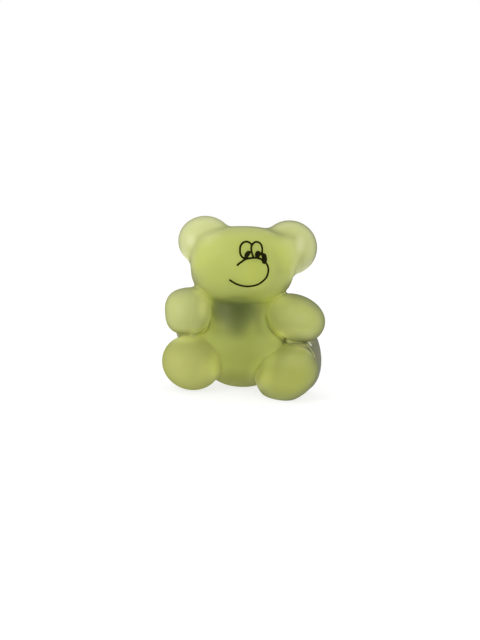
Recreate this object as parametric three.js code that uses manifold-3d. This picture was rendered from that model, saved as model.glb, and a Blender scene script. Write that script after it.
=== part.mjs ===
// A sitting toy gummy bear in one soft piece: round head, two ears, two arms and two legs held out
// in front of a plump belly. A web of skin fills the notch between each arm and leg.
// Millimetres, +Z up, the bear faces -Y and its left paw is at +X. It rests on its feet and belly.
import * as THREE from "three";
import { MarchingCubes } from "three/addons/objects/MarchingCubes.js";
import { mergeVertices } from "three/addons/utils/BufferGeometryUtils.js";
import Module from "manifold-3d";

// Each lobe is a rounded body: its centre, its half sizes along its own width, depth and height, how
// far it rolls about its depth and turns about the vertical in degrees, how square it is (2 is an
// ellipsoid) and the width of the fillet that blends it into the lobes before it.
const BELLY = { at: [-0.3, 6.8, 14.9], half: [16.6, 14.6, 15.2], square: 2.15, fillet: 2.5 };
const CHEST = { at: [-1.1, 8.8, 28], half: [17.5, 11.5, 12], fillet: 6 };
const HEAD = { at: [-2.4, 5.3, 46.2], half: [19.4, 15.5, 14.4], roll: -4, square: 2.5, fillet: 2 };
const MUZZLE = { at: [0.8, -7.1, 44.8], half: [7.2, 4.4, 6.6], fillet: 5 };
const EARS = [
  { at: [-16.7, 6.7, 53.9], half: [10.3, 6.7, 9.5], fillet: 1.5 },
  { at: [14.8, 6.7, 53.7], half: [10.5, 6.7, 10.3], fillet: 2 },
];
const TEMPLES = [
  { at: [-14, 1.7, 51.5], half: [6, 7, 6], fillet: 3 },
  { at: [12, 1.7, 52], half: [6, 7, 6], fillet: 3 },
];
const ARMS = [
  { at: [-21.3, -0.7, 28.4], half: [7.4, 12, 8.5], roll: -8, turn: -20, square: 2.6, fillet: 2 },
  { at: [18.7, -0.7, 28.4], half: [10.5, 12, 8.5], roll: 24, turn: 25, square: 2.1, fillet: 3 },
];
const LEGS = [
  { at: [-18.8, -3.7, 9.6], half: [10.9, 14, 9.7], roll: 30, turn: -20, fillet: 2 },
  { at: [16.2, -7.7, 8.5], half: [11.7, 13.5, 8.6], roll: -39, turn: 18, square: 2.15, fillet: 1.5 },
];
const THIGHS = [
  { at: [-11.5, 0.2, 15.5], half: [7, 7, 7], fillet: 4 },
  { at: [9, 0.2, 16.5], half: [7, 8, 6.5], fillet: 4 },
];
const WEBS = [
  { at: [-18.5, 2, 19.5], half: [6.9, 3.5, 4.5], fillet: 1.5 },
  { at: [20.2, 3, 12.8], half: [9.5, 4.4, 15.2], roll: -13, square: 2.1, fillet: 1.5 },
];
const LOBES = [BELLY, CHEST, HEAD, MUZZLE, ...EARS, ...TEMPLES, ...ARMS, ...LEGS, ...THIGHS, ...WEBS];

const CELL = 2; // grid step of the surface
const CELLS = 40; // steps along each side of the cubic grid
const MIDDLE = [-0.5, 1, 31]; // centre of the grid
const EVEN_ROUNDS = 10; // rounds that even out the triangles
const PROBE = 0.01; // step of the slope measurement
const CREASE = 0.5; // squared slope under which a point lies deep in a crease
const SKIN = { color: 0xb4bd6c, roughness: 0.35, metalness: 0 };

// The turn of a lobe: a roll about its depth, then a turn about the vertical.
function turnOf({ roll = 0, turn = 0 }) {
  const deg = THREE.MathUtils.degToRad;
  return new THREE.Matrix4()
    .makeRotationZ(deg(turn))
    .multiply(new THREE.Matrix4().makeRotationY(deg(roll)));
}

// Distance to a lobe's surface, negative inside: exact on the surface and close to it elsewhere.
function lobeDistance({ at, half, square = 2, inverse }) {
  const centre = new THREE.Vector3(...at);
  const q = new THREE.Vector3();
  return (point) => {
    q.copy(point).sub(centre).applyMatrix4(inverse);
    let sum = 0;
    let slope = 0;
    const share = q.toArray().map((v, i) => Math.abs(v) / half[i] + 1e-9);
    share.forEach((s) => (sum += s ** square));
    const size = sum ** (1 / square);
    share.forEach((s, i) => (slope += (s ** (square - 1) / half[i]) ** 2));
    return (size - 1) / (Math.sqrt(slope) * size ** (1 - square));
  };
}

const distances = LOBES.map((lobe) => ({
  fillet: lobe.fillet,
  of: lobeDistance({ ...lobe, inverse: turnOf(lobe).invert() }),
}));

// Distance to the whole bear, with a fillet where each lobe meets the ones before it.
function bearDistance(point) {
  return distances.reduce((nearest, { of, fillet }) => {
    const d = of(point);
    const overlap = Math.max(fillet - Math.abs(nearest - d), 0) / fillet;
    return Math.min(nearest, d) - (overlap * overlap * fillet) / 4;
  }, Infinity);
}

// The closed surface of the bear on an even grid, in millimetres, with shared vertices.
function bearSurface() {
  const grid = new MarchingCubes(CELLS, new THREE.MeshStandardMaterial(), false, false, 40000);
  const point = new THREE.Vector3();
  const middle = new THREE.Vector3(...MIDDLE);
  grid.isolation = 0;
  for (let z = 0; z < CELLS; z++)
    for (let y = 0; y < CELLS; y++)
      for (let x = 0; x < CELLS; x++) {
        point.set(x, y, z).subScalar(CELLS / 2).multiplyScalar(CELL).add(middle);
        grid.setCell(x, y, z, -bearDistance(point));
      }
  grid.update();
  const positions = grid.positionArray.slice(0, grid.count * 3);
  const surface = new THREE.BufferGeometry();
  surface.setAttribute("position", new THREE.BufferAttribute(positions, 3));
  surface.scale(...Array(3).fill((CELLS / 2) * CELL)).translate(...MIDDLE);
  return withoutSlivers(mergeVertices(surface, CELL / 1000));
}

// The same geometry without the triangles that lost a corner when vertices were merged.
function withoutSlivers(geometry) {
  const corners = geometry.index.array;
  const kept = [];
  for (let i = 0; i < corners.length; i += 3) {
    const [a, b, c] = corners.slice(i, i + 3);
    if (a !== b && b !== c && c !== a) kept.push(a, b, c);
  }
  return geometry.setIndex(kept);
}

// Moves a point onto the bear's surface along the slope of the distance, unless it lies deep in a
// crease, where the slopes of both sides cancel and would throw it off.
function settle(point) {
  const slope = new THREE.Vector3();
  const probe = new THREE.Vector3();
  const ahead = (axis) => bearDistance(probe.copy(point).addScaledVector(axis, PROBE));
  const behind = (axis) => bearDistance(probe.copy(point).addScaledVector(axis, -PROBE));
  const axes = [[1, 0, 0], [0, 1, 0], [0, 0, 1]].map((v) => new THREE.Vector3(...v));
  for (let step = 0; step < 2; step++) {
    slope.set(...axes.map((axis) => (ahead(axis) - behind(axis)) / (2 * PROBE)));
    if (slope.lengthSq() < CREASE) break;
    point.addScaledVector(slope, -bearDistance(point) / slope.lengthSq());
  }
  return point;
}

// Slides each vertex towards the middle of its neighbours and back onto the surface, so that the
// triangles come out even in size and the creases soft.
function evenOut(geometry) {
  const position = geometry.attributes.position;
  const corners = geometry.index.array;
  const neighbours = Array.from({ length: position.count }, () => new Set());
  for (let i = 0; i < corners.length; i += 3)
    for (let side = 0; side < 3; side++) {
      const a = corners[i + side];
      const b = corners[i + ((side + 1) % 3)];
      neighbours[a].add(b);
      neighbours[b].add(a);
    }
  const point = new THREE.Vector3();
  const near = new THREE.Vector3();
  for (let round = 0; round < EVEN_ROUNDS; round++)
    neighbours.forEach((around, i) => {
      point.set(0, 0, 0);
      around.forEach((j) => point.add(near.fromBufferAttribute(position, j)));
      point.divideScalar(around.size).add(near.fromBufferAttribute(position, i)).multiplyScalar(0.5);
      position.setXYZ(i, ...settle(point).toArray());
    });
  return geometry;
}

const wasm = await Module();
wasm.setup();

// A closed geometry as a solid that can be cut.
function solidOf(geometry) {
  geometry.deleteAttribute("normal");
  geometry.deleteAttribute("uv");
  const closed = mergeVertices(geometry);
  const vertProperties = new Float32Array(closed.attributes.position.array);
  const triVerts = new Uint32Array(closed.index.array);
  return new wasm.Manifold(new wasm.Mesh({ numProp: 3, vertProperties, triVerts }));
}

// A cut solid back as a geometry with smooth normals.
function geometryOf(solid) {
  const { vertProperties, triVerts } = solid.getMesh();
  const geometry = new THREE.BufferGeometry();
  geometry.setAttribute("position", new THREE.BufferAttribute(vertProperties, 3));
  geometry.setIndex(new THREE.BufferAttribute(triVerts, 1));
  geometry.computeVertexNormals();
  return geometry;
}

// The bear with its feet and belly cut flat at the height of the table, centred over the origin.
function bearGeometry() {
  const below = new THREE.BoxGeometry(200, 200, 20).translate(0, 0, -10);
  const geometry = geometryOf(solidOf(evenOut(bearSurface())).subtract(solidOf(below)));
  geometry.computeBoundingBox();
  const centre = geometry.boundingBox.getCenter(new THREE.Vector3());
  return geometry.translate(-centre.x, -centre.y, 0);
}

const bear = new THREE.Mesh(bearGeometry(), new THREE.MeshStandardMaterial(SKIN));
bear.name = "bear";

const toy = new THREE.Group();
toy.add(bear);

export default toy;
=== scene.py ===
import math

import bmesh
import bpy
import numpy as np
from mathutils import Matrix, Vector
from mathutils.bvhtree import BVHTree


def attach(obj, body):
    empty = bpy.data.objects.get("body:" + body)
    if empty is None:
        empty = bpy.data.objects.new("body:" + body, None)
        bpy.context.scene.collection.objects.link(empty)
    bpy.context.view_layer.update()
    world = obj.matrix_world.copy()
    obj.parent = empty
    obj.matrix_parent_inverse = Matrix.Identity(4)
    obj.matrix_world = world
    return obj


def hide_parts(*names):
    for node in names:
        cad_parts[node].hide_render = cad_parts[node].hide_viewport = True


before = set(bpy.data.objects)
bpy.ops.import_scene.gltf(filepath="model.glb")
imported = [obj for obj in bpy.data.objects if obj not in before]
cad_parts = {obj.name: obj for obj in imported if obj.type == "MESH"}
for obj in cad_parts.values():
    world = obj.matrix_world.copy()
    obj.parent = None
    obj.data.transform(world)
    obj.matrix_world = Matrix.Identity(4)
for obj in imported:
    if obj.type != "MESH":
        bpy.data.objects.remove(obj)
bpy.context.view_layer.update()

# Gel body: head, ears, belly, arms and legs of soft translucent gel, cast in one piece in a rounded
# mould. It sits on its belly and feet, so those are pressed flat. It stands for the CAD solid.
MM = 0.001  # sizes below are in millimetres, and meshes in metres

# Each lobe is a rounded body: its centre, its half sizes along its own width, depth and height, its
# roll about its depth and turn about the vertical in degrees, how square it is (2 is an ellipsoid)
# and the width of the fillet that blends it into the lobes before it.
BELLY = {"at": (-0.3, 6.8, 14.9), "half": (16.6, 14.6, 15.2), "square": 2.15, "fillet": 2.5}
CHEST = {"at": (-1.1, 8.8, 28), "half": (17.5, 11.5, 12), "fillet": 6}
HEAD = {"at": (-2.4, 5.3, 46.2), "half": (19.4, 15.5, 14.4), "roll": -4, "square": 2.5, "fillet": 2}
MUZZLE = {"at": (0.8, -7.1, 44.8), "half": (7.2, 4.4, 6.6), "fillet": 5}
EARS = [
    {"at": (-16.7, 6.7, 53.9), "half": (10.3, 6.7, 9.5), "fillet": 1.5},
    {"at": (14.8, 6.7, 53.7), "half": (10.5, 6.7, 10.3), "fillet": 2},
]
TEMPLES = [
    {"at": (-14, 1.7, 51.5), "half": (6, 7, 6), "fillet": 3},
    {"at": (12, 1.7, 52), "half": (6, 7, 6), "fillet": 3},
]
ARMS = [
    {
        "at": (-21.3, -0.7, 28.4), "half": (7.4, 12, 8.5),
        "roll": -8, "turn": -20, "square": 2.6, "fillet": 2,
    },
    {
        "at": (18.7, -0.7, 28.4), "half": (10.5, 12, 8.5),
        "roll": 24, "turn": 25, "square": 2.1, "fillet": 3,
    },
]
LEGS = [
    {"at": (-18.8, -3.7, 9.6), "half": (10.9, 14, 9.7), "roll": 30, "turn": -20, "fillet": 2},
    {
        "at": (16.2, -7.7, 8.5), "half": (11.7, 13.5, 8.6),
        "roll": -39, "turn": 18, "square": 2.15, "fillet": 1.5,
    },
]
THIGHS = [
    {"at": (-11.5, 0.2, 15.5), "half": (7, 7, 7), "fillet": 4},
    {"at": (9, 0.2, 16.5), "half": (7, 8, 6.5), "fillet": 4},
]
LOBES = [BELLY, CHEST, HEAD, MUZZLE, *EARS, *TEMPLES, *ARMS, *LEGS, *THIGHS]
VOXEL = 0.6  # grain of the joined surface
ROUNDS = 5  # rounds that smooth the joined surface and lay it back on the lobes
SOFT_ROUNDS = 2  # rounds that soften what creases are left
PROBE = 0.01  # step of the slope measurement
CREASE = 0.5  # squared slope under which a point lies deep in a crease and isn't moved
REACH = 4  # how far off its face a point looks for the next lobe, to tell whether it lies in a nook
NOOK_PAINTED_LIGHT = 0.55  # how far painted light makes the gel paler in a nook
SKIN_MIDDLE = (-1, 4, 28)  # the faces that point away from here are the bear's outside
RIM = 0.95  # how much of the darker skin shows where it is seen edge-on


def turn_of(lobe):
    """The turn of a lobe: a roll about its depth, then a turn about the vertical."""
    roll = Matrix.Rotation(math.radians(lobe.get("roll", 0)), 3, "Y")
    return Matrix.Rotation(math.radians(lobe.get("turn", 0)), 3, "Z") @ roll


def add_lobe(mesh, lobe):
    """Adds a lobe's closed surface: a ball, squared off, stretched to its half sizes and turned."""
    square = lobe.get("square", 2)
    ball = bmesh.ops.create_icosphere(mesh, subdivisions=5, radius=1)["verts"]
    for vertex in ball:
        size = sum(abs(c) ** square for c in vertex.co) ** (1 / square)
        vertex.co = Vector(c / size * half * MM for c, half in zip(vertex.co, lobe["half"]))
    bmesh.ops.rotate(mesh, verts=ball, matrix=turn_of(lobe))
    bmesh.ops.translate(mesh, verts=ball, vec=Vector(lobe["at"]) * MM)


def lobe_distance(points, lobe):
    """Distance in millimetres from points to a lobe's surface, negative inside."""
    square = lobe.get("square", 2)
    share = np.abs((points - lobe["at"]) @ np.array(turn_of(lobe))) / lobe["half"] + 1e-9
    size = (share**square).sum(1) ** (1 / square)
    slope = np.sqrt(((share ** (square - 1) / lobe["half"]) ** 2).sum(1))
    return (size - 1) / (slope * size ** (1 - square))


def distance(points, lobes):
    """Distance to all the lobes together, with a fillet where each one meets those before it."""
    nearest = np.full(len(points), np.inf)
    for lobe in lobes:
        one = lobe_distance(points, lobe)
        overlap = np.clip(lobe["fillet"] - np.abs(nearest - one), 0, None) / lobe["fillet"]
        nearest = np.minimum(nearest, one) - overlap**2 * lobe["fillet"] / 4
    return nearest


def settle(points, lobes):
    """Moves points onto the filleted surface along its slope, apart from those deep in a crease."""
    for _ in range(2):
        here = distance(points, lobes)
        ahead = [distance(points + PROBE * axis, lobes) for axis in np.eye(3)]
        slope = (np.stack(ahead, 1) - here[:, None]) / PROBE
        steepness = (slope**2).sum(1)
        on_face = steepness > CREASE
        points[on_face] -= slope[on_face] * (here / steepness)[on_face, None]
    return points


def mesh_object(name, mesh):
    """A new object at the origin from a bmesh that it uses up."""
    data = bpy.data.meshes.new(name)
    mesh.to_mesh(data)
    mesh.free()
    made = bpy.data.objects.new(name, data)
    bpy.context.scene.collection.objects.link(made)
    return made


def remeshed(piece, voxel):
    """The piece with its overlapping shells joined into one closed skin of even faces."""
    remesh = piece.modifiers.new("join", "REMESH")
    remesh.mode = "VOXEL"
    remesh.voxel_size = voxel * MM
    remesh.use_smooth_shade = True
    graph = bpy.context.evaluated_depsgraph_get()
    joined = bpy.data.meshes.new_from_object(piece.evaluated_get(graph))
    piece.modifiers.clear()
    piece.data = joined
    joined.name = piece.name
    return piece


def smooth(skin):
    """Moves each vertex half way to the middle of its neighbours."""
    bmesh.ops.smooth_vert(
        skin, verts=skin.verts, factor=0.5, use_axis_x=True, use_axis_y=True, use_axis_z=True
    )


def cast(name, lobes):
    """One closed smooth piece from lobes, flat where it reaches the table."""
    shells = bmesh.new()
    for lobe in lobes:
        add_lobe(shells, lobe)
    piece = remeshed(mesh_object(name, shells), VOXEL)
    skin = bmesh.new()
    skin.from_mesh(piece.data)
    for _ in range(ROUNDS):
        smooth(skin)
        points = settle(np.array([v.co for v in skin.verts]) / MM, lobes)
        for vertex, point in zip(skin.verts, points):
            vertex.co = Vector(point) * MM
    for vertex in skin.verts:
        vertex.co.z = max(vertex.co.z, 0)
    for _ in range(SOFT_ROUNDS):
        smooth(skin)
    skin.to_mesh(piece.data)
    skin.free()
    return piece


def mark(piece, name, values):
    """Notes a number at each vertex of a piece, for its finish to read."""
    piece.data.attributes.new(name, "FLOAT", "POINT").data.foreach_set("value", values)


def paint(red, green, blue):
    """A colour given as 0 to 255 a channel, as a shader reads it."""
    channels = [c / 255 for c in (red, green, blue)]
    return (*[c / 12.92 if c <= 0.04045 else ((c + 0.055) / 1.055) ** 2.4 for c in channels], 1)


class Value:
    """A number or a vector that a node gives out. Sums with it add Math nodes."""

    def __init__(self, finish, socket):
        self.finish, self.socket = finish, socket

    def maths(self, operation, one, other):
        return self.finish.node(
            "ShaderNodeMath", {"operation": operation}, {"Value": one, "Value_001": other}
        )

    def __add__(self, other):
        return self.maths("ADD", self, other)

    def __rsub__(self, other):
        return self.maths("SUBTRACT", other, self)

    def __mul__(self, other):
        return self.maths("MULTIPLY", self, other)


class Finish:
    """A material made node by node, with its surface coordinates in millimetres."""

    def __init__(self, name):
        self.material = bpy.data.materials.new(name)
        self.material.use_nodes = True
        self.tree = self.material.node_tree
        self.tree.nodes.clear()

    def node(self, kind, settings, sockets, output=None):
        """Adds a node with its settings and its sockets' values or links, and gives back its first
        output, or the one asked for. Sockets go by identifier."""
        made = self.tree.nodes.new(kind)
        for name, value in settings.items():
            setattr(made, name, value)
        inputs = {socket.identifier: socket for socket in made.inputs}
        for name, value in sockets.items():
            if isinstance(value, Value):
                self.tree.links.new(value.socket, inputs[name])
            else:
                inputs[name].default_value = value
        for socket in made.outputs:
            if output in (None, socket.identifier):
                return Value(self, socket)

    def place(self):
        """Where a point of the surface is, in millimetres."""
        where = self.node("ShaderNodeTexCoord", {}, {}, output="Object")
        return self.node("ShaderNodeVectorMath", {"operation": "SCALE"}, {"Vector": where, "Scale": 1 / MM})

    def vector(self, operation, *vectors, output=None):
        """Vector maths on one or two vectors."""
        named = dict(zip(("Vector", "Vector_001"), vectors))
        return self.node("ShaderNodeVectorMath", {"operation": operation}, named, output)

    def near(self, place, at, half, soft):
        """1 inside an ellipsoid about a point, fading to 0 over the soft outer share of it."""
        share = self.vector("DIVIDE", self.vector("SUBTRACT", place, at), half)
        return self.step(self.vector("LENGTH", share, output="Value"), 1, 1 - soft)

    def step(self, value, low, high):
        """0 where a number is under low, 1 where it is over high, and a smooth rise between."""
        return self.node(
            "ShaderNodeMapRange",
            {"interpolation_type": "SMOOTHSTEP"},
            {"Value": value, "From Min": low, "From Max": high, "To Min": 0, "To Max": 1},
        )

    def mix(self, share, under, over):
        """The colour under, covered by the colour over by a share."""
        return self.node(
            "ShaderNodeMix",
            {"data_type": "RGBA"},
            {"Factor_Float": share, "A_Color": under, "B_Color": over},
            output="Result_Color",
        )

    def tinted(self, colour, place, zones, share):
        """The colour with the tint of each zone laid over a share of it."""
        for at, half, soft, strength, tint in zones:
            colour = self.mix(self.near(place, at, half, soft) * strength * share, colour, paint(*tint))
        return colour

    def marked(self, name):
        """A number noted at the vertices."""
        return self.node("ShaderNodeAttribute", {"attribute_name": name}, {}, output="Fac")

    def noise(self, place, grain):
        """Even noise from 0 to 1 whose lumps are about a grain wide, in millimetres."""
        return self.node("ShaderNodeTexNoise", {}, {"Vector": place, "Scale": 1 / grain, "Detail": 2})

    def waves(self, place, grain, depth, strength):
        """A normal with waves about a grain wide and a depth high, both in millimetres."""
        return self.node(
            "ShaderNodeBump",
            {},
            {"Strength": strength, "Distance": depth * MM, "Height": self.noise(place, grain)},
        )

    def plastic(self, sockets):
        """A plastic surface with these sockets set or linked."""
        return self.node("ShaderNodeBsdfPrincipled", {}, sockets)

    def output(self, surface):
        """The finished material."""
        self.node("ShaderNodeOutputMaterial", {}, {"Surface": surface})
        return self.material


# Where the gel's colour changes, and where light and shade are painted onto it. Each zone has its middle,
# its half sizes, the outer share of it that fades out, the strength of its tint, and the tint itself, 0 to
# 255 a channel.
TRUNK_TINTS_AND_LIGHT = [  # the belly is yellower and darker towards the bottom, and the muzzle brighter; painted light makes the ears and temples paler, the ear at -X most, and the chin lighter at +X; painted shade darkens the chin
    (BELLY["at"], (22, 20, 22), 0.6, 1, (122, 128, 52)),
    ((-0.6, -4, 3), (20, 9, 8), 0.9, 0.7, (108, 112, 36)),
    (EARS[0]["at"], (14, 14, 14), 0.8, 1, (157, 160, 117)),
    (EARS[1]["at"], (14, 14, 14), 0.8, 1, (130, 132, 96)),
    ((-15, -2, 55.5), (6, 7, 6), 1, 0.7, (178, 182, 124)),
    ((13, -3, 55), (4, 6, 7), 1, 0.7, (164, 169, 104)),
    (MUZZLE["at"], (10, 8, 9), 0.8, 0.8, (170, 176, 78)),
    ((0.5, -8.6, 35.5), (13, 8, 5), 0.9, 0.5, (140, 148, 68)),
    ((10.5, -6, 39), (9, 9, 8), 1, 0.9, (180, 187, 104)),
]
LIMB_TINTS_AND_LIGHT = [  # each arm and leg has its own tint, with painted light making those at -X lighter and painted shade those at +X darker
    (LEGS[0]["at"], (18, 22, 18), 0.4, 0.95, (141, 144, 82)),
    (LEGS[1]["at"], (19, 22, 18), 0.4, 0.95, (130, 135, 67)),
    (ARMS[0]["at"], (14, 19, 14), 0.4, 0.95, (146, 151, 96)),
    (ARMS[1]["at"], (16, 19, 14), 0.6, 0.9, (134, 138, 80)),
]
CHEST_SHADE_AND_LIGHT = [  # painted shade: the chest is dark green where the head and the arm at -X shade it, with painted light at its +X side, along the chin's lower edge and above the legs
    ((11.5, -5, 21), (4, 5, 4), 1, 0.6, (186, 192, 108)),
    ((-4, -6.5, 34.5), (9, 6, 4), 1, 0.4, (134, 143, 74)),
    ((-3.5, -2, 30), (13.5, 8, 8), 0.7, 0.8, (104, 113, 64)),
    ((-10, -2, 30), (7, 7, 8), 0.9, 0.6, (98, 106, 60)),
    ((-3.2, -4, 29.5), (7.5, 8, 9), 0.9, 0.95, (89, 99, 41)),
    ((-6, -5.5, 24), (9, 7, 6.5), 1, 0.4, (100, 108, 56)),
    ((5.5, -5, 25.5), (6, 6, 6), 1, 0.35, (112, 120, 62)),
    ((-2.6, -6, 24.2), (6, 7, 6.5), 1, 0.6, (90, 99, 44)),
    ((-2.2, -4.8, 33.7), (11, 5, 2.6), 1, 0.7, (146, 155, 88)),
    ((8, -4.2, 28), (4, 6, 8), 1, 0.9, (170, 178, 106)),
    ((-9.8, -7, 17.3), (7, 6, 6), 1, 0.6, (156, 162, 88)),
]
LIMB_PAINTED_LIGHT = [  # painted light: highlights on the ends of the arms and legs and paler undersides, and painted shade at the foot of the leg at +X
    ((-15.5, -7, 31), (4, 8, 7), 0.8, 0.9, (180, 185, 118)),
    ((-24.8, -12.4, 29.2), (4, 5, 5), 1, 0.5, (160, 165, 108)),
    ((19.6, -12.6, 29.7), (5, 6, 4), 1, 0.5, (148, 152, 100)),
    ((19.4, -9.4, 22), (11, 9, 6), 1, 0.9, (190, 194, 122)),
    ((-22, -8, 21.5), (8, 7, 5), 1, 0.8, (182, 186, 120)),
    ((-25.4, -15.2, 12.8), (4, 5, 5), 1, 0.3, (146, 150, 86)),
    ((-13.5, -14, 8.4), (5, 7, 8), 1, 0.8, (156, 160, 88)),
    ((-11, -10, 9), (4, 7, 9), 1, 0.7, (178, 184, 100)),
    ((11, -9, 15), (8, 9, 7), 1, 0.6, (150, 156, 86)),
    ((17, -14, 15), (10, 9, 6), 1, 0.7, (155, 160, 98)),
    ((9.5, -10, 13.5), (4, 7, 7), 1, 0.7, (176, 181, 106)),
    ((13.5, -5, 21.5), (4, 6, 4), 1, 0.9, (206, 211, 128)),
    ((8, -14, 8), (6, 7, 8), 1, 0.8, (158, 162, 86)),
    ((15.9, -20.7, 3), (10, 8, 4), 1, 0.3, (112, 117, 50)),
]
EAR_PAINTED_LIGHT = [  # painted highlights on the ears, painted light at the root of the ear at +X and painted shade on its lower edge
    ((-22.2, 0.8, 54), (3, 5, 4), 1, 0.7, (184, 187, 140)),
    ((17.9, 0.2, 55.4), (3, 6, 5), 1, 0.9, (172, 175, 130)),
    ((16, -2, 50.5), (4, 6, 9), 1, 0.3, (184, 188, 128)),
    ((22, 4, 46.5), (8, 10, 8), 1, 0.7, (112, 114, 72)),
]
SOFT_RIMS = [  # the rim stays pale at the ears' roots and over the brow: middle, half sizes, strength
    ((14.5, -2, 50.5), (8, 9, 11), 1),
    ((-17, -2, 49), (7, 9, 9), 1),
    ((-2, -4, 56), (22, 9, 9), 0.6),
]


def gel_finish():
    """Yellow-green gel under a clear skin, which darkens the rims that are seen at a slant, with light and
    shade painted into its colour.
    """
    gel = Finish("gel")
    place = gel.place()
    limb = gel.marked("limb")
    colour = gel.mix(gel.noise(place, 9), paint(156, 163, 87), paint(163, 170, 93))
    # The zones below lay painted light and shade over the gel's own tint.
    colour = gel.tinted(colour, place, TRUNK_TINTS_AND_LIGHT, 1)
    colour = gel.tinted(colour, place, LIMB_TINTS_AND_LIGHT, limb)
    # Painted light: the deeper a point lies in a nook, the paler the gel is painted there, against the
    # shade in the crease.
    colour = gel.mix(gel.marked("nook") * NOOK_PAINTED_LIGHT, colour, paint(186, 191, 112))
    colour = gel.tinted(colour, place, CHEST_SHADE_AND_LIGHT, 1 - limb)
    colour = gel.tinted(colour, place, LIMB_PAINTED_LIGHT, limb)
    colour = gel.tinted(colour, place, EAR_PAINTED_LIGHT, 1)
    inside = gel.plastic(
        {
            "Base Color": colour,
            "Roughness": gel.noise(place, 5) * 0.08 + 0.38,
            "Normal": gel.waves(place, grain=3, depth=0.2, strength=0.25),
            "IOR": 1.45,
            "Specular IOR Level": 0.2,
            "Subsurface Weight": 1,
            "Subsurface Radius": (1, 1, 0.85),
            "Subsurface Scale": 0.06,
        }
    )
    # Painted light on the rim: it is paler at -X, on the side toward the lamp, darker at +X, and greyer
    # over the head than lower down.
    across = gel.node("ShaderNodeSeparateXYZ", {}, {"Vector": place}, output="X")
    height = gel.node("ShaderNodeSeparateXYZ", {}, {"Vector": place}, output="Z")
    lamp_side_rim = gel.mix(gel.step(height, 45, 10), paint(154, 157, 114), paint(154, 158, 84))
    rim = gel.mix(gel.step(across, -25, 25), lamp_side_rim, paint(122, 126, 88))
    edge = gel.plastic({"Base Color": rim, "Roughness": 0.35, "Specular IOR Level": 0})
    aslant = gel.node("ShaderNodeLayerWeight", {}, {"Blend": 0.5}, output="Facing")
    facing = gel.node("ShaderNodeNewGeometry", {}, {}, output="Normal")
    away = gel.vector("NORMALIZE", gel.vector("SUBTRACT", place, SKIN_MIDDLE))
    outward = gel.step(gel.vector("DOT_PRODUCT", facing, away, output="Value"), 0, 0.5)
    share = gel.step(aslant, 0, 0.9) * outward * RIM
    for at, half, strength in SOFT_RIMS:
        share *= 1 - gel.near(place, at, half, 0.5) * strength
    return gel.output(
        gel.node("ShaderNodeMixShader", {}, {"Fac": share, "Shader": inside, "Shader_001": edge})
    )


body = cast("gel_body", LOBES)
points = np.array([vertex.co / MM for vertex in body.data.vertices])
normals = np.array([vertex.normal for vertex in body.data.vertices])
# How deep each vertex lies in a nook, where the finish paints light.
mark(body, "nook", 1 - np.clip(distance(points + normals * REACH, LOBES) / REACH, 0, 1))
nearest = np.argmin([lobe_distance(points, lobe) for lobe in LOBES], axis=0)
mark(body, "limb", np.array([LOBES[i] in ARMS + LEGS for i in nearest], dtype=float))
body.data.materials.append(gel_finish())
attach(body, "root")
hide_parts("bear")

# Clear webs: the skin between each arm and leg, where the mould left no gel. Two lenses of clear soft
# plastic moulded with the body. The one at +X is large and shows beyond the leg as well. The small
# one lies so close to the gel that it looks like a pale film.
WEBS = {
    "left": {"at": (-18.5, 2, 19.5), "half": (6.9, 3.5, 4.5), "fillet": 1.5},
    "right": {"at": (20.3, 3, 13.6), "half": (9.5, 4.4, 14.4), "roll": -13, "square": 2.1, "fillet": 1.5},
}


def clear_finish():
    """Clear soft plastic, smoky where it is seen alone and paler where gel lies behind it."""
    clear = Finish("clear_skin")
    place = clear.place()
    over_gel = clear.near(place, (17, 0, 20), (10, 12, 5), 0.5)
    tint = clear.mix(over_gel, paint(134, 136, 108), paint(226, 231, 122))
    waves = clear.waves(place, grain=4, depth=0.5, strength=0.5)
    return clear.output(
        clear.plastic(
            {"Base Color": tint, "Roughness": 0.12, "Normal": waves, "IOR": 1.4, "Transmission Weight": 0.5}
        )
    )


def film_finish(name, low, high):
    """Glossy film whose colour wanders between two close shades."""
    film = Finish(name)
    place = film.place()
    colour = film.mix(film.noise(place, 2), low, high)
    return film.output(film.plastic({"Base Color": colour, "Roughness": film.noise(place, 1) * 0.1 + 0.25}))


finishes = {
    "left": film_finish("pale_skin", paint(150, 153, 108), paint(162, 165, 118)),
    "right": clear_finish(),
}
webs = {}
for side, lobe in WEBS.items():
    web = cast(f"web_{side}", [lobe])
    web.data.materials.append(finishes[side])
    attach(web, "root")
    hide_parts("bear")
    webs[side] = web

# Printed face: eyes, nose and smile in one pass of dark ink, pressed onto the muzzle by a soft pad.
# The lines are three quarters of a millimetre wide and stand a few hundredths proud. Their points
# are drawn in x and z, and laid on the gel along y.
LINE = 0.75  # width of the ink lines
BRIDGE_LINE = 1
NOSE_LINE = 1.9
INK = 0.06  # how far the ink stands proud
INK_VOXEL = 0.1  # grain of the joined lines
FRONT = -30  # y in front of the whole bear, from where prints and folds are laid on
LEFT_EYE = [
    (-2.65, 49.95), (-3.3, 50.25), (-3.9, 50.85), (-4.3, 51.7), (-4.4, 52.75), (-4.4, 53.7), (-4.05, 54.6),
    (-3.35, 55.4), (-2.5, 55.75), (-1.7, 55.75), (-0.9, 55.4), (-0.2, 54.7),
]
RIGHT_EYE = [
    (0.45, 50.8), (0.05, 51.65), (-0.25, 52.65), (-0.4, 53.45), (-0.4, 53.95), (-0.2, 54.7), (0.3, 55.4),
    (0.95, 55.85), (1.65, 55.95), (2.5, 55.7), (3.25, 54.9), (3.55, 53.95), (3.6, 52.9), (3.6, 52.2),
]
MUZZLE_LINE = [
    (-5, 47.4), (-4.3, 48.1), (-3.4, 48.85), (-2.6, 49.5), (-1.7, 49.95), (-0.6, 50.2), (0.6, 50.4),
    (1.7, 50.45), (2.7, 50.3), (3.55, 49.95), (4.4, 49.4),
]
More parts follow.
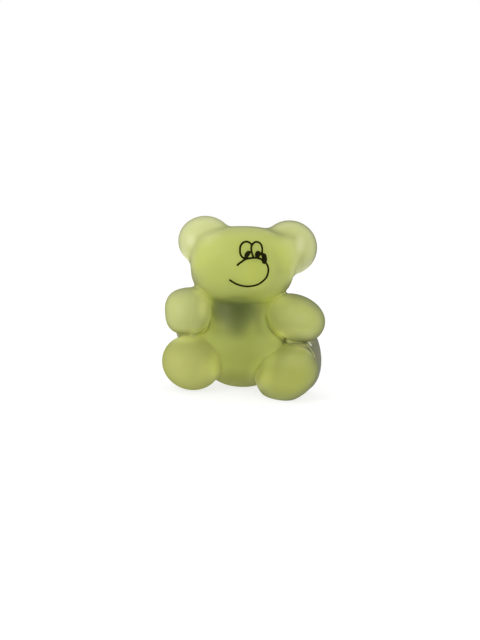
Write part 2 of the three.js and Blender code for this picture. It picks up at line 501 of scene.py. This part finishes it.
SMILE = [
    (5.1, 49), (5.85, 47.9), (6.15, 47), (6.25, 46.2), (6.15, 45.1), (5.75, 43.8), (5.05, 42.8),
    (4.15, 41.9), (3.1, 41.1), (1.75, 40.5), (0.4, 40.15), (-0.95, 39.95), (-2.3, 40), (-3.7, 40.2),
    (-5.1, 40.6), (-6.25, 41.15), (-7.25, 41.7),
]
BRIDGE = [(2.3, 52.1), (3.3, 51.9), (4.3, 51.5)]
NOSE = [(4.3, 51.3), (4.6, 50.4), (4.55, 49.4)]
PUPILS = [  # middle, half width and height, lean in degrees
    ((-1.7, 51.5), (0.85, 1.45), -35),
    ((2.05, 51.75), (1.05, 1.25), -15),
]


def add_stroke(mesh, points, width):
    """Adds a round-ended stroke of even width through points, standing up in the plane of the face."""
    line = bpy.data.curves.new("stroke", "CURVE")
    line.dimensions = "3D"
    line.bevel_depth = width / 2 * MM
    line.use_fill_caps = True
    line.resolution_u = 8
    spline = line.splines.new("BEZIER")
    spline.bezier_points.add(len(points) - 1)
    for knot, (x, z) in zip(spline.bezier_points, points):
        knot.co = Vector((x, 0, z)) * MM
        knot.handle_left_type = knot.handle_right_type = "AUTO"
    drawn = bpy.data.objects.new("stroke", line)
    mesh.from_mesh(drawn.to_mesh())
    drawn.to_mesh_clear()
    bpy.data.objects.remove(drawn)
    for x, z in (points[0], points[-1]):
        spot = Matrix.Translation(Vector((x, 0, z)) * MM)
        bmesh.ops.create_icosphere(mesh, subdivisions=3, radius=width / 2 * MM, matrix=spot)


def press(piece, onto, proud):
    """Flattens a piece drawn about y = 0 and lays it on the front of another."""
    tree = BVHTree.FromObject(onto, bpy.context.evaluated_depsgraph_get())
    thick = max(abs(vertex.co.y) for vertex in piece.data.vertices)
    for vertex in piece.data.vertices:
        above = vertex.co.y / thick * proud * MM
        start = Vector((vertex.co.x, FRONT * MM, vertex.co.z))
        under = tree.ray_cast(start, Vector((0, 1, 0)))[0]
        vertex.co.y = under.y + above


strokes = bmesh.new()
for (x, z), (half_width, half_height), lean in PUPILS:
    size = Matrix.Diagonal((half_width, half_width, half_height, 1 / MM)) * MM
    spot = Matrix.Translation(Vector((x, 0, z)) * MM)
    leaning = Matrix.Rotation(math.radians(-lean), 4, "Y")
    bmesh.ops.create_icosphere(strokes, subdivisions=4, radius=1, matrix=spot @ leaning @ size)
for points in (LEFT_EYE, RIGHT_EYE, MUZZLE_LINE, SMILE):
    add_stroke(strokes, points, LINE)
add_stroke(strokes, BRIDGE, BRIDGE_LINE)
add_stroke(strokes, NOSE, NOSE_LINE)
face = remeshed(mesh_object("printed_face", strokes), INK_VOXEL)
press(face, body, INK)


def ink_finish():
    """Dark brown-black ink, a little thinner here and there."""
    ink = Finish("ink")
    place = ink.place()
    colour = ink.mix(ink.noise(place, 0.8), paint(14, 13, 2), paint(34, 32, 6))
    shine = ink.noise(place, 0.5) * 0.15 + 0.6
    return ink.output(
        ink.plastic({"Base Color": colour, "Roughness": shine, "Specular IOR Level": 0.03})
    )


face.data.materials.append(ink_finish())
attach(face, "root")

# Folds in the clear skin: thin ridges of the same clear plastic where it is drawn tight in the notches
# between arms and legs. Their colours are painted light and shade: the pale ones are painted lighter where
# they catch the light, the glint is a painted white highlight and the dark one is painted shade. Like the
# printed lines, they are drawn in x and z.
FOLD = 0.2  # how far a fold stands proud
FOLD_VOXEL = 0.08  # grain of the joined folds
ARM_FOLD = [  # the strokes of each fold: their points and their width
    ([(-22.6, 20.2), (-21.3, 20.3), (-20, 20.1), (-18.8, 19.8)], 0.3),
    # the short wide stroke is a painted highlight
    ([(-18.8, 19.8), (-18.4, 19.6)], 0.7),
]
BAND_FOLD = [([(15.2, 20.3), (17.1, 20.5), (19.3, 20.6), (21.6, 20.6)], 0.45)]
LEG_FOLD = [
    (
        [
            (16, 18.3), (18.5, 18.7), (20.9, 18.8), (23, 18.6),
            (24.3, 17.7), (25.6, 16.3), (26.6, 14.8), (27.3, 13),
        ],
        0.5,
    )
]
GLINT_FOLD = [([(23.6, 20.2), (24.4, 19.3), (25.2, 18.4)], 0.6)]
SHADE_FOLD = [([(22.3, 19.2), (23.4, 19.3)], 0.8)]
# Painted light and shade: the pale films are painted lighter, the white one is a painted highlight and the
# dark one is painted shade.
painted_light_film = film_finish("painted_light_film", paint(182, 186, 120), paint(194, 198, 132))
leg_film = film_finish("leg_film", paint(164, 168, 104), paint(176, 180, 114))
glint_film = film_finish("glint_film", paint(226, 226, 212), paint(240, 240, 230))
shade_film = film_finish("shade_film", paint(108, 112, 52), paint(122, 126, 62))
for name, drawn, onto, film in [
    ("arm_fold", ARM_FOLD, body, painted_light_film),
    ("band_fold", BAND_FOLD, webs["right"], painted_light_film),
    ("leg_fold", LEG_FOLD, webs["right"], leg_film),
    ("glint_fold", GLINT_FOLD, webs["right"], glint_film),
    ("shade_folds", SHADE_FOLD, webs["right"], shade_film),
]:
    ridges = bmesh.new()
    for points, width in drawn:
        add_stroke(ridges, points, width)
    fold = remeshed(mesh_object(name, ridges), FOLD_VOXEL)
    press(fold, onto, FOLD)
    fold.data.materials.append(film)
    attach(fold, "root")

# Floor, light and camera: a plain white table in a bright room, a soft light from the upper left and
# a camera a little above the bear, looking at its chest.
TABLE = 2000  # side of the table top
TABLE_DROP = 0.02  # how far the table top lies under the bear, so that their faces don't coincide
table_top = bmesh.new()
bmesh.ops.create_grid(table_top, x_segments=1, y_segments=1, size=TABLE / 2 * MM)
bmesh.ops.translate(table_top, verts=table_top.verts, vec=(0, 0, -TABLE_DROP * MM))
floor = mesh_object("floor", table_top)
white = Finish("white_table")
grain = white.mix(white.noise(white.place(), 200), paint(138, 138, 138), paint(142, 142, 142))
glowing = {"Emission Color": (1, 1, 1, 1), "Emission Strength": 0.75}
floor.data.materials.append(
    white.output(white.plastic({"Base Color": grain, "Roughness": 0.9, **glowing}))
)

AIM = Vector((-1.6, 8.1, 24.9))  # the point that the camera looks at
DISTANCE = 400  # from there to the camera
ELEVATION = math.radians(8)
YAW = math.radians(3)
ROLL = math.radians(4.3)
back = Matrix.Rotation(-YAW, 3, "Z") @ Vector((0, -math.cos(ELEVATION), math.sin(ELEVATION)))
level = back.cross(Vector((0, 0, -1))).normalized()
right = level * math.cos(ROLL) + level.cross(-back) * math.sin(ROLL)
turned = Matrix((right, back.cross(right), back)).transposed().to_4x4()
camera = bpy.data.objects.new("camera", bpy.data.cameras.new("camera"))
camera.data.lens = 59.2
camera.data.clip_start = 0.01
camera.matrix_world = Matrix.Translation((AIM + back * DISTANCE) * MM) @ turned
bpy.context.scene.collection.objects.link(camera)
bpy.context.scene.camera = camera

LAMP = Vector((-350, -450, 350))  # where the lamp hangs
soft_box = bpy.data.lights.new("key", "AREA")
soft_box.size = 250 * MM
soft_box.energy = 0.9
lamp = bpy.data.objects.new("key", soft_box)
lamp.location = LAMP * MM
lamp.rotation_euler = (AIM - LAMP).to_track_quat("-Z", "Y").to_euler()
bpy.context.scene.collection.objects.link(lamp)

world = bpy.data.worlds.new("room")
bpy.context.scene.world = world
world.use_nodes = True
backdrop = world.node_tree.nodes["Background"]
backdrop.inputs["Color"].default_value = (1, 1, 1, 1)
backdrop.inputs["Strength"].default_value = 1
bpy.context.scene.view_settings.view_transform = "Standard"
